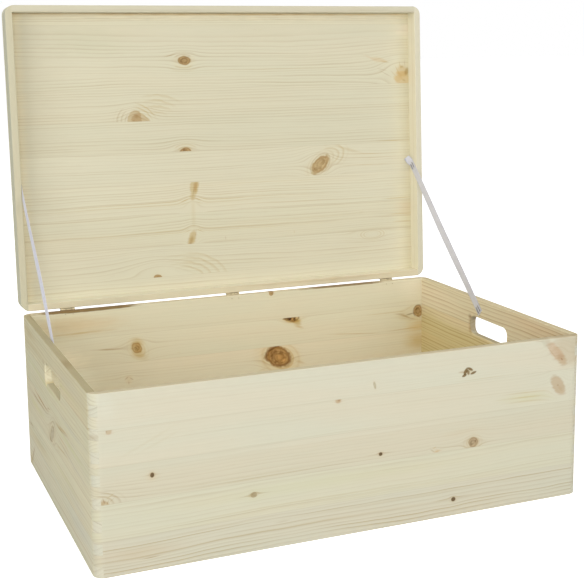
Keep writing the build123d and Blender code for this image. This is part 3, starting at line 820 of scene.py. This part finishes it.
hinge = frame["joints"][0]
hinge_place = Vector(hinge["pos_m"])
open_turn = math.radians(hinge["range_deg"][1])
lid_up = (0, -math.cos(open_turn), math.sin(open_turn))
lid_in = (0, math.sin(open_turn), math.cos(open_turn))
lid_back_edge, lid_rim_gap = 0.002, 0.0004
lid_corner = hinge_place + Vector(lid_up) * lid_back_edge + Vector(lid_in) * lid_rim_gap
rail_high = 22.0
rail_finger = rail_high / 2
rail_pine = (0.743, 0.697, 0.534)
long_rail = dict(axes=board_axes((1, 0, 0), lid_in, lid_corner), end=long_wall_end, contrast=0.4)
side_rail = dict(axes=board_axes(lid_up, lid_in, lid_corner), end=NO_LINE, contrast=0.5)
rail_looks = {
    "front": dict(long_rail, heart=(60, 420), seed=91.0, tone=(0.90, 0.94, 1.0)),
    "back": dict(long_rail, heart=(60, 24), seed=94.0, tone=(1.06, 1.06, 1.06),
                 marks=[streak(-34, 3, 5, 2.6, BROWN, 0.45, turn=-25), streak(-31, 2.6, 1.6, 3, BROWN, 0.4)],
                 streaks=[streak(152, 3, 22, 3, TAN, 0.7), streak(250, 3, 14, 3, TAN, 0.7)]),
    # The left rail is painted darker all over, a painted shade for its outer side; the right rail is painted
    # lighter, a painted light on its inner face, with its edges toned back down.
    "left": dict(side_rail, heart=(60, 320), seed=97.0, tone=(0.80, 0.84, 0.82), edge=(0.975, 0.92, 0.885)),
    "right": dict(side_rail, heart=(-50, -270), seed=99.0, tone=(1.16, 1.16, 1.19), edge=(0.77, 0.77, 0.76)),
}
for side, look in rail_looks.items():
    pine_board(f"lid_{side}_rail", low=-NO_LINE, high=rail_high, pitch=rail_finger, pine=rail_pine,
               ring=4.4, wander=1.5, **look)


# Lid panel: ten pine staves glued edge to edge on the rails, the first and last narrower.
# It is the largest face in view, with fine even grain that parts round the knots. One
# board's figure runs over two of the staves.

panel_axes = board_axes((1, 0, 0), lid_up, lid_corner)
panel_thick = 8.0
panel_through = -(rail_high + panel_thick / 2)
first_stave, panel_stave = 27.5, 43.5
panel_pine = (0.700, 0.660, 0.500)

# The fan of a branch at the right edge and the plume over it, on the two staves with one figure.
FAN_HEART, FAN_UPPER, FAN_LEFT = (0.95, 0.83, 0.66), (0.96, 0.87, 0.73), (0.97, 0.91, 0.82)
FAN_DARK, FAN_SPOT, FAN_STREAK = (0.74, 0.66, 0.52), (0.78, 0.70, 0.58), (0.86, 0.78, 0.64)
PLUME, PLUME_TAIL = (0.97, 0.885, 0.785), (0.98, 0.92, 0.86)
shared_middle = first_stave + 6.5 * panel_stave
eye = knot(-57, 326.8, 9.4, 6.0, look="brown", reach=(21, 11))
corner_knot = knot(282, 299, 17, 15, turn=35, look="clear", reach=(40, 26))
upper_look = dict(heart=(60, -24), ring=3.7, wander=4.5, contrast=0.8, seed=122.8, middle=shared_middle,
                  knots=[eye, corner_knot],
                  streaks=[streak(80, 314, 190, 1.1, TAN, 0.5)],
                  marks=[streak(-78, 333.6, 12, 1.1, BROWN, 0.6, turn=12),
                         streak(-52, 331.5, 6, 1.2, DARK, 0.5), streak(-57, 318.4, 8, 1.6, LIGHT, 0.9),
                         streak(281, 295, 15, 13, FAN_HEART, 1.0, soft=0.4),
                         streak(280, 306, 11, 12, FAN_UPPER, 1.0, turn=30, soft=0.5),
                         streak(273, 298, 9, 9, FAN_LEFT, 1.0, turn=-30, soft=0.5),
                         streak(288, 306, 4.5, 8, FAN_DARK, 1.0, turn=-15, soft=0.7),
                         streak(280, 313, 3.8, 2.6, FAN_SPOT, 1.0),
                         streak(283, 293, 5, 2.4, FAN_STREAK, 1.0, turn=-20),
                         streak(272, 309, 1.2, 10, TAN, 0.7, turn=28),
                         streak(277, 315, 1.2, 9, TAN, 0.7, turn=12),
                         streak(266, 303, 1.2, 9, TAN, 0.6, turn=45),
                         streak(285, 318, 1.1, 7, BROWN, 0.4, turn=5),
                         streak(253, 303, 15, 0.9, BROWN, 0.5, turn=-27),
                         streak(247, 309.5, 12, 0.9, BROWN, 0.35, turn=-14),
                         streak(243, 323.5, 17, 4.5, PLUME, 1.0, turn=-10, soft=0.5),
                         streak(226, 328, 15, 2.4, PLUME_TAIL, 1.0, turn=-22),
                         streak(252, 320.6, 10, 1.4, TAN, 0.7, turn=-10),
                         streak(270, 326, 12, 6, LIGHT, 0.9)],
                  curls=[curl(-58, 327, 26, 13.5, 3, BROWN, 0.4, aim=95, spread=75),
                         curl(-58, 327, 30, 17, 3, TAN, 0.5, aim=-90, spread=70)],
                  figures=[(-57, 327, 50, 20, 0.3), (150, 312, 130, 16, 0.35)])

# Two side branches cut lengthwise, half a knot at a seam, and painted shade and light towards the rails:
# the left rail's painted shadow, painted reflected light by the rails, and painted light and shadow under the
# top rail.
BRANCH, BRANCH_HEART, BRANCH_TRACE = (0.86, 0.75, 0.58), (0.82, 0.72, 0.56), (0.965, 0.94, 0.88)
UPPER_BRANCH, UPPER_HEART = (0.86, 0.77, 0.60), (0.82, 0.69, 0.52)
HALF_KNOT, HALF_KNOT_TAIL = (0.82, 0.71, 0.58), (0.84, 0.74, 0.62)
PAINTED_EDGE_SHADE, PAINTED_EDGE_LIGHT, PAINTED_CORNER_SHADE = (0.97, 0.91, 0.87), (1.11, 1.07, 1.12), (0.95, 0.955, 0.93)
PAINTED_TOP_LIGHT, PAINTED_TOP_SHADOW = (1.34, 1.31, 1.31), (0.80, 0.68, 0.52)
PAINTED_RIGHT_BOUNCE, PAINTED_LEFT_SHADOW, PAINTED_LEFT_LIGHT = (1.10, 1.08, 1.03), (0.93, 0.915, 0.90), (1.15, 1.10, 1.03)
panel_looks = [
    dict(heart=(-40, -24), ring=3.7, wander=3.0, contrast=0.6, seed=101.3),
    dict(heart=(-50, -24), ring=3.8, wander=4.5, contrast=0.65, seed=104.7,
         knots=[knot(-107, 27, 6, 4.6, look="brown", reach=(40, 22)),
                knot(222, 66, 9, 4, look="clear", reach=(30, 10))],
         curls=[curl(226, 65, 26, 10, 5, TAN, 0.5), curl(-80, 18, 90, 50, 8, TAN, 0.55, aim=35, spread=45),
                curl(-70, 22, 80, 42, 7, TAN, 0.25, aim=90, spread=50)],
         figures=[(-60, 45, 130, 20, 0.3), (222, 64, 60, 12, 0.3)]),
    dict(heart=(60, -24), ring=3.6, wander=3.0, contrast=0.7, tone=(0.98, 0.98, 0.965), seed=107.2,
         knots=[knot(-53, 80, 5.5, 14, turn=-22, look="clear", reach=(10, 14))],
         streaks=[streak(-80, 91, 330, 1.0, TAN, 0.7), streak(-60, 88, 330, 0.9, TAN, 0.6),
                  streak(120, 97, 220, 0.9, TAN, 0.5), streak(275, 93, 34, 1.3, TAN, 0.9),
                  streak(280, 81, 24, 1.3, TAN, 0.9)],
         marks=[streak(-55.5, 78, 7.2, 16, BRANCH, 1.0, turn=-20, soft=0.5),
                streak(-56, 77, 4.4, 8, BRANCH_HEART, 1.0, turn=-20, soft=0.8),
                streak(-58, 72, 4, 2.4, BROWN, 0.5), streak(-61, 89.5, 8, 1.3, TAN, 0.8, turn=16),
                streak(-44, 89.5, 9, 1.3, TAN, 0.8, turn=-18), streak(-50, 84, 1.0, 11, BROWN, 0.3, turn=-14),
                streak(-52, 108, 5, 30, BRANCH_TRACE, 1.0), streak(-5.5, 75.5, 0.9, 4.2, BROWN, 0.5),
                streak(100, 77, 0.8, 3, TAN, 0.8)],
         # Painted shade at the right end of this stave, toning down the painted light by the right rail.
         inner_painted_light=[streak(284, 104, 28, 18, PAINTED_EDGE_SHADE, 1.0)]),
    dict(heart=(-60, -24), ring=3.8, wander=3.0, contrast=0.85, tone=(0.985, 0.985, 0.98), seed=110.6,
         knots=[knot(-53, 120, 6, 8, look="clear", reach=(14, 16))],
         streaks=[streak(-60, 131, 330, 1.1, TAN, 0.8), streak(-100, 127, 330, 1.0, TAN, 0.7),
                  streak(60, 137.5, 300, 0.9, TAN, 0.5), streak(60, 151.5, 260, 0.9, TAN, 0.5),
                  streak(120, 121, 200, 0.9, TAN, 0.6), streak(270, 118, 40, 1.3, TAN, 0.9)],
         marks=[streak(-49, 153, 7.6, 23, UPPER_BRANCH, 1.0, turn=-9, soft=0.45),
                streak(-47.5, 151, 4.6, 12, UPPER_HEART, 1.0, turn=-10, soft=0.8),
                streak(-43, 152, 0.9, 8, TAN, 0.7, turn=-14), streak(-51, 143, 1.0, 9, BROWN, 0.4, turn=-8),
                streak(-63, 133, 11, 1.3, TAN, 0.9, turn=17),
                streak(-44.5, 133.5, 9, 1.3, TAN, 0.9, turn=-22),
                streak(-63, 128.6, 11, 1.1, TAN, 0.7, turn=15), streak(-44, 129, 9, 1.1, TAN, 0.7, turn=-20),
                streak(-53, 134, 5, 3, TAN, 0.5), streak(-52, 118, 5, 26, BRANCH_TRACE, 1.0)]),
    dict(heart=(70, -24), ring=3.8, wander=2.6, contrast=0.7, tone=(0.96, 0.96, 0.955), seed=113.9,
         knots=[knot(143.5, 173.5, 17, 9, turn=42, look="tan", reach=(26, 20))],
         streaks=[streak(225, 184, 66, 1.0, TAN, 0.8), streak(220, 169, 60, 1.0, TAN, 0.7),
                  streak(230, 179, 60, 0.9, TAN, 0.5), streak(190, 190, 34, 3, TAN, 0.5, turn=-12)],
         marks=[streak(146, 176, 9, 2.4, BROWN, 0.5, turn=42), streak(154, 186, 6, 3, BROWN, 0.4, turn=60)],
         curls=[curl(144, 174, 27, 17, 4, BROWN, 0.35, turn=42),
                curl(150, 182, 44, 24, 5, TAN, 0.5, turn=20, aim=30, spread=65)],
         figures=[(150, 176, 60, 26, 0.4)]),
    dict(heart=(-55, -24), ring=3.6, wander=2.6, contrast=0.8, tone=(0.925, 0.925, 0.91), seed=116.1,
         knots=[knot(-60, 201, 8.5, 5.5, look="brown", reach=(22, 13))],
         streaks=[streak(260, 204.5, 44, 1.3, TAN, 0.9)],
         curls=[curl(-60, 201, 26, 15, 4, TAN, 0.5, aim=90, spread=80)],
         figures=[(-60, 206, 60, 18, 0.3)]),
    dict(heart=(-65, -24), ring=3.8, wander=2.6, contrast=0.8, tone=(0.925, 0.925, 0.91), seed=119.4,
         knots=[knot(-124, 243, 18, 15, turn=-24, look="clear", reach=(23, 19))],
         marks=[streak(-130.5, 249, 10.5, 12.5, HALF_KNOT, 1.0, turn=-10, soft=0.2),
                streak(-121, 245.5, 16, 9.5, HALF_KNOT_TAIL, 1.0, turn=-26, soft=0.2),
                streak(-128, 252, 5, 4, BROWN, 0.4, turn=-30),
                streak(-117, 248, 8, 1.6, BROWN, 0.35, turn=-30),
                streak(-133, 246, 5, 1.6, BROWN, 0.35, turn=20)],
         curls=[curl(-128, 246, 34, 30, 6, BROWN, 0.5, turn=10, aim=165, spread=38),
                curl(-132, 240, 48, 36, 7, TAN, 0.9, turn=-30, aim=50, spread=42),
                curl(-104, 236, 74, 54, 7, TAN, 0.6, aim=75, spread=42)],
         figures=[(-120, 256, 90, 30, 0.3)]),
    dict(upper_look, tone=(0.935, 0.935, 0.92)),
    dict(upper_look, tone=(0.945, 0.945, 0.935),
         # Painted shade towards the left end and painted light at the right end of this stave.
         inner_painted_light=[streak(-190, 354, 80, 40, PAINTED_CORNER_SHADE, 1.0), streak(288, 368, 26, 16, PAINTED_EDGE_LIGHT, 1.0)]),
    # Painted light under the top rail, making up for its shadow, then a painted shadow and a dark line where the
    # panel meets the rail, partly a glue line and partly painted shadow.
    dict(heart=(55, -24), ring=3.4, wander=1.8, contrast=0.7, tone=(0.995, 0.995, 0.985), seed=128.3,
         inner_painted_light=[streak(0, 390, 600, 11, PAINTED_TOP_LIGHT, 1.0, soft=0.9),
                      streak(0, 391.5, 600, 4.5, PAINTED_TOP_SHADOW, 1.0, soft=0.7),
                      streak(0, 391.3, 600, 1.5, DARK, 0.7, soft=0.6)]),
]
# The inside is painted darker towards the left rail as its shadow, with painted light close by the left rail and
# painted reflected light by the right rail.
shadowed_left_staves, weak_left_light_stave = range(5, 9), 2
for i, look in enumerate(panel_looks):
    low = 0.0 if i == 0 else first_stave + (i - 1) * panel_stave
    high = first_stave + i * panel_stave
    middle = (low + high) / 2
    across, through = look.pop("heart")
    heart = (look.pop("middle", middle) + across, panel_through + through)
    look["inner_painted_light"] = look.get("inner_painted_light", []) + [
        streak(300, middle, 48, 80, PAINTED_RIGHT_BOUNCE, 1.0),
        streak(-300, middle, 110, 80, PAINTED_LEFT_SHADOW, 0.9 if i in shadowed_left_staves else 0.4),
        streak(-290, middle, 19, 80, PAINTED_LEFT_LIGHT, 0.7 if i == weak_left_light_stave else 1.0)]
    pine_board(f"lid_stave_{i + 1}", panel_axes, low, high, NO_LINE, wall_finger, cloud=0.5,
               heart=heart, pine=panel_pine, inner=-panel_through, **look)


# Hinges: three small butt hinges of brassed sheet steel, two leaves and a pin each,
# surface-mounted on the back of the wall and of the lid rail.

hinge_nodes = [f"hinge_{where}_{piece}" for where in ("left", "middle", "right")
               for piece in ("base_leaf", "lid_leaf", "pin")]
bare_metal("hinge_brass", hinge_nodes, (0.60, 0.51, 0.33), 0.4)


# Hinge nails: brassed round-headed nails, two to a leaf. The ones in the wall are longer
# than it is thick, and their tips come just through it.

bare_metal("nail_brass", ["hinge_nails_base", "hinge_nails_lid"], (0.56, 0.47, 0.31), 0.42)


# Straps: two lengths of woven white tape that stop the lid. Each is stapled flat to the inside
# of a side wall and of a lid rail, and drawn straight by the open lid.

tape_wide, tape_thick = 0.012, 0.0005
tape_from_middle = 0.2905
tape_low = Vector((0, 0.025, 0.186))
lid_up_way, lid_in_way = Vector(lid_up), Vector(lid_in)
tape_up_lid, tape_into_rail = 0.165, 0.0115
tape_high = lid_corner + lid_up_way * tape_up_lid + lid_in_way * tape_into_rail
tape_high.x = 0
tape_tail, flat_end, stapled_end = 0.0065, 0.02, 0.012
loose_end, loose_lift, loose_twist = 0.009, 0.4, math.radians(28)
panel_clear, panel_slide = 0.0215, 0.6
run_way = (tape_high - tape_low).normalized()
cross_way = Vector((1, 0, 0)).cross(run_way)
tape_start = tape_low - run_way * tape_tail
held_length = (tape_high - tape_low).length + 2 * tape_tail
tape_rows, tape_columns = 110, 6


def tape_material():
    """White tape: fine ribs across it, close selvedges, and a soft sheen."""
    rib_pitch, selvedge_start, selvedge_end = 0.0009, 0.0006, 0.0011
    ridge, groove, selvedge_stain = (0.75, 0.75, 0.82), (0.66, 0.66, 0.74), (0.9, 0.9, 0.92)
    groove_change, groove_mean = 0.2, 0.3
    material = bpy.data.materials.new("white_tape")
    material.use_nodes = True
    tree = material.node_tree
    shader = tree.nodes["Principled BSDF"]
    shader.inputs["Roughness"].default_value = 0.6
    shader.inputs["Sheen Weight"].default_value = 0.25
    parts = split(tree, tree.nodes.new("ShaderNodeTexCoord").outputs["UV"])
    ribs = calc(tree, "SINE", times(tree, parts["Y"], 2 * math.pi / rib_pitch))
    from_edge = calc(tree, "MINIMUM", parts["X"], calc(tree, "SUBTRACT", tape_wide, parts["X"]))
    grooves = calc(tree, "MULTIPLY_ADD", ribs, groove_change, groove_mean)
    colour = mix_colour(tree, "MIX", grooves, ridge, groove)
    selvedge = fade_out(tree, from_edge, selvedge_start, selvedge_end)
    colour = mix_colour(tree, "MULTIPLY", selvedge, colour, selvedge_stain)
    wire(tree, colour, shader.inputs["Base Color"])
    bump = tree.nodes.new("ShaderNodeBump")
    bump.inputs["Strength"].default_value = 0.4
    bump.inputs["Distance"].default_value = 0.0002
    wire(tree, ribs, bump.inputs["Height"])
    wire(tree, bump.outputs["Normal"], shader.inputs["Normal"])
    return material


white_tape = tape_material()


def make_tape(name, side, length, twists):
    """One strap as a thin closed strip: flat on the wood at its ends, a little twisted between them.
    Length past its held part is a loose end that turns out from the lid's rail."""
    verts, faces, places = [], [], []
    for face in (-1, 1):
        for row in range(tape_rows + 1):
            run = length * row / tape_rows
            free = (run - flat_end) / (held_length - 2 * flat_end)
            bow = math.sin(math.pi * free) if 0 < free < 1 else 0.0
            turn = bow * (twists[0] + (twists[1] - twists[0]) * free)
            turns_about = 0.0
            out = abs(math.sin(turn)) * tape_wide / 2 * bow
            loose = (run - held_length) / loose_end
            if loose > 0:
                turn, turns_about = loose_twist * loose * (2 - loose), tape_wide / 2
                out = loose_lift * loose_end * loose ** 2
            for column in range(tape_columns + 1):
                over = tape_wide * (column / tape_columns - 0.5)
                spread = turns_about + (over - turns_about) * math.cos(turn)
                spot = tape_start + run_way * run + cross_way * spread
                off_wood = out + (turns_about - over) * math.sin(turn) - face * tape_thick / 2
                depth = (spot - lid_corner).dot(lid_in_way)
                if loose > 0 and depth > panel_clear:
                    spot += (lid_up_way * panel_slide - lid_in_way) * (depth - panel_clear)
                spot.x = side * (tape_from_middle - off_wood)
                verts.append(spot)
                places.append((column / tape_columns * tape_wide, run))
    wide = tape_columns + 1
    layer = (tape_rows + 1) * wide
    for row in range(tape_rows):
        for column in range(tape_columns):
            a = row * wide + column
            faces.append((a, a + 1, a + wide + 1, a + wide))
            b = a + layer
            faces.append((b, b + wide, b + wide + 1, b + 1))
    outline = [c for c in range(wide)] + [r * wide + wide - 1 for r in range(1, tape_rows + 1)]
    outline += [tape_rows * wide + c for c in range(wide - 2, -1, -1)]
    outline += [r * wide for r in range(tape_rows - 1, 0, -1)]
    for a, b in zip(outline, outline[1:] + outline[:1]):
        faces.append((a, a + layer, b + layer, b))
    mesh = bpy.data.meshes.new(name)
    mesh.from_pydata(verts, [], faces)
    mesh.validate()
    uv = mesh.uv_layers.new(name="UVMap")
    for loop in mesh.loops:
        uv.data[loop.index].uv = places[loop.vertex_index]
    tape = bpy.data.objects.new(name, mesh)
    bpy.context.scene.collection.objects.link(tape)
    mesh.materials.append(white_tape)
    return tape


for where, side, length, twists in (("left", -1, held_length, (-10, -1)),
                                    ("right", 1, held_length + loose_end, (10, 10))):
    tape = make_tape(f"tape_{where}", side, length, [math.radians(twist) for twist in twists])
    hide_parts(f"strap_{where}")
    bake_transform(tape)


# Staples: plain steel wire bent square, two over each end of each strap.
# They are driven through the tape into the wall and into the lid's rail.

bare_metal("staple_steel", ["strap_staples_base", "strap_staples_lid"], (0.42, 0.42, 0.43), 0.35)


# Floor: a wide plain sheet of near-white paper for the box to stand on.
# To the camera it glows a little, so that it is as pale as the wall behind it.

floor_mesh = bpy.data.meshes.new("floor")
floor_reach, floor_drop = 30.0, 0.0002
floor_mesh.from_pydata([(-floor_reach, -floor_reach, 0), (floor_reach, -floor_reach, 0),
                        (floor_reach, floor_reach, 0), (-floor_reach, floor_reach, 0)], [], [(0, 1, 2, 3)])
floor = bpy.data.objects.new("floor", floor_mesh)
floor.location.z = -floor_drop
bpy.context.scene.collection.objects.link(floor)
paper = bpy.data.materials.new("floor_paper")
paper.use_nodes = True
paper_tree = paper.node_tree
paper_shader = paper_tree.nodes["Principled BSDF"]
paper_shader.inputs["Base Color"].default_value = (0.70, 0.70, 0.70, 1)
paper_shader.inputs["Roughness"].default_value = 0.9
paper_shader.inputs["Emission Color"].default_value = (1, 1, 1, 1)
paper_glow = 0.82
floor_seen = paper_tree.nodes.new("ShaderNodeLightPath").outputs["Is Camera Ray"]
wire(paper_tree, times(paper_tree, floor_seen, paper_glow), paper_shader.inputs["Emission Strength"])
floor_mesh.materials.append(paper)


# Light: an even pale room and five large soft lights: one at the left, two in front,
# one overhead and a weak one behind. Each is turned to the left of straight ahead and
# raised by so many degrees, so many metres away.

world = bpy.data.worlds.new("studio")
bpy.context.scene.world = world
world.use_nodes = True
sky = world.node_tree
background = sky.nodes["Background"]
room_light, room_seen = 0.32, 1.0
seen_by_camera = sky.nodes.new("ShaderNodeLightPath").outputs["Is Camera Ray"]
room = calc(sky, "MULTIPLY_ADD", seen_by_camera, room_seen - room_light, room_light)
wire(sky, room, background.inputs["Strength"])
background.inputs["Color"].default_value = (1, 1, 1, 1)

light_aim = Vector((0, 0, 0.25))
light_spread = 0.8
for where, leftward, upward, away, watts in (
        ("left", 62, 12, 3.0, 36.6), ("front", 10, 20, 3.0, 29.8), ("right", -35, 20, 3.0, 24.4),
        ("top", 0, 82, 6.0, 105.0), ("back", 180, 22, 3.0, 14.0)):
    soft_data = bpy.data.lights.new(f"soft_light_{where}", "AREA")
    soft_data.shape = "DISK"
    soft_data.size = light_spread * away
    soft_data.energy = watts
    soft = bpy.data.objects.new(f"soft_light_{where}", soft_data)
    leftward, upward = math.radians(leftward), math.radians(upward)
    comes_from = Vector((-math.sin(leftward) * math.cos(upward),
                         -math.cos(leftward) * math.cos(upward), math.sin(upward)))
    soft.location = light_aim + comes_from * away
    soft.rotation_euler = comes_from.to_track_quat("Z", "Y").to_euler()
    bpy.context.scene.collection.objects.link(soft)
bpy.context.scene.view_settings.view_transform = "Standard"


# Camera: where the photograph was taken from, in front of the box and to the left,
# level with the upper half of the open lid and looking a little down.

image_pixels, focal_pixels = 584, 1190.75
camera_data = bpy.data.cameras.new("camera")
camera_data.sensor_width = 36.0
camera_data.lens = camera_data.sensor_width * focal_pixels / image_pixels
camera_data.shift_x, camera_data.shift_y = -0.03, -0.09
camera = bpy.data.objects.new("camera", camera_data)
camera_place = (-0.5411, -1.3636, 0.5527)
turn_right, tip_down, roll = math.radians(22.68), math.radians(9.464), math.radians(-0.486)
facing = Matrix.Rotation(-turn_right, 4, "Z") @ Matrix.Rotation(math.pi / 2 - tip_down, 4, "X")
facing = facing @ Matrix.Rotation(roll, 4, "Z")
camera.matrix_world = Matrix.Translation(camera_place) @ facing
bpy.context.scene.collection.objects.link(camera)
bpy.context.scene.camera = camera
